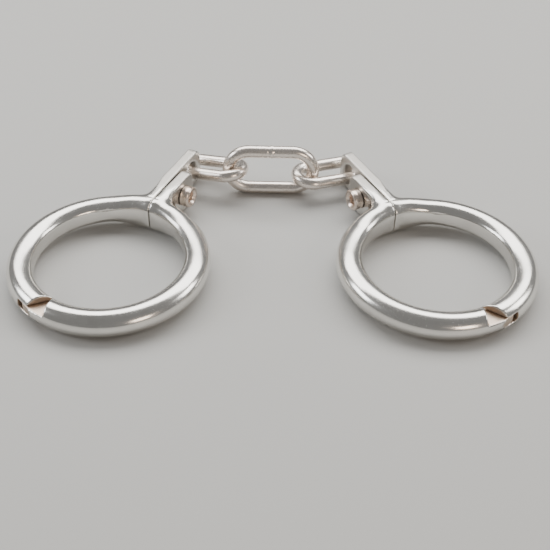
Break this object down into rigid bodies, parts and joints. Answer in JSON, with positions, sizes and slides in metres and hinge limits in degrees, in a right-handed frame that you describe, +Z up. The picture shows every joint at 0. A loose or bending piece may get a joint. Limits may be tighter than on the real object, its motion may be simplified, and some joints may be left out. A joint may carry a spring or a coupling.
{
  "type": "screw-locked handcuffs",
  "caption": "Pair of heavy round-bar steel wrist cuffs, each hinged in two halves and held shut by a socket screw, joined by a short chain.",
  "frame": {"origin": "the middle of the rectangle the object covers on the floor, at floor level", "axes": "+X from the left cuff to the right cuff, +Y from the rings towards the chain, +Z up"},
  "size_m": [0.2336, 0.1298, 0.0265],
  "materials": {
    "cuff_steel": "bright polished, the lug edges left satin",
    "chain_steel": "polished wire, slightly wavy",
    "screw_steel": "machined and polished",
    "pin_steel": "ground flush and polished"
  },
  "bodies": {
    "left_chain_half": {"left_chain_half": "cuff_steel", "left_hinge_pin": "pin_steel"},
    "left_swing_half": {"left_swing_half": "cuff_steel"},
    "left_lock_screw": {"left_lock_screw": "screw_steel"},
    "left_end_link": {"left_end_link": "chain_steel"},
    "middle_link": {"middle_link": "chain_steel"},
    "right_end_link": {"right_end_link": "chain_steel"},
    "right_chain_half": {"right_chain_half": "cuff_steel", "right_hinge_pin": "pin_steel"},
    "right_swing_half": {"right_swing_half": "cuff_steel"},
    "right_lock_screw": {"right_lock_screw": "screw_steel"}
  },
  "joints": [
    {"name": "left_opening", "type": "hinge", "parent": "left_chain_half", "child": "left_swing_half", "pos_m": [-0.10078, -0.04752, 0.00607], "axis": [0.0135, 0.0294, -0.9995], "range_deg": [0, 60]},
    {"name": "left_screw_withdrawal", "type": "slide", "parent": "left_swing_half", "child": "left_lock_screw", "axis": [0.9092, -0.4163, 0], "range_m": [0, 0.012]},
    {"name": "left_link_swing", "type": "hinge", "parent": "left_chain_half", "child": "left_end_link", "pos_m": [-0.03969, 0.05501, 0.00851], "axis": [0, 0, 1], "range_deg": [-6, 8]},
    {"name": "middle_link_lift", "type": "hinge", "parent": "left_end_link", "child": "middle_link", "pos_m": [-0.01682, 0.04371, 0.01356], "axis": [0, -1, 0], "range_deg": [-2, 20]},
    {"name": "right_link_swing", "type": "hinge", "parent": "middle_link", "child": "right_end_link", "pos_m": [0.01831, 0.046, 0.01326], "axis": [0, 0, 1], "range_deg": [-6, 30]},
    {"name": "right_cuff_swing", "type": "hinge", "parent": "right_end_link", "child": "right_chain_half", "pos_m": [0.03482, 0.05469, 0.00824], "axis": [0, 0, 1], "range_deg": [-8, 12]},
    {"name": "right_opening", "type": "hinge", "parent": "right_chain_half", "child": "right_swing_half", "pos_m": [0.09677, -0.04861, 0.006], "axis": [0.0156, -0.0284, 0.9995], "range_deg": [0, 60]},
    {"name": "right_screw_withdrawal", "type": "slide", "parent": "right_swing_half", "child": "right_lock_screw", "axis": [-0.8771, -0.4802, 0], "range_m": [0, 0.012]}
  ]
}
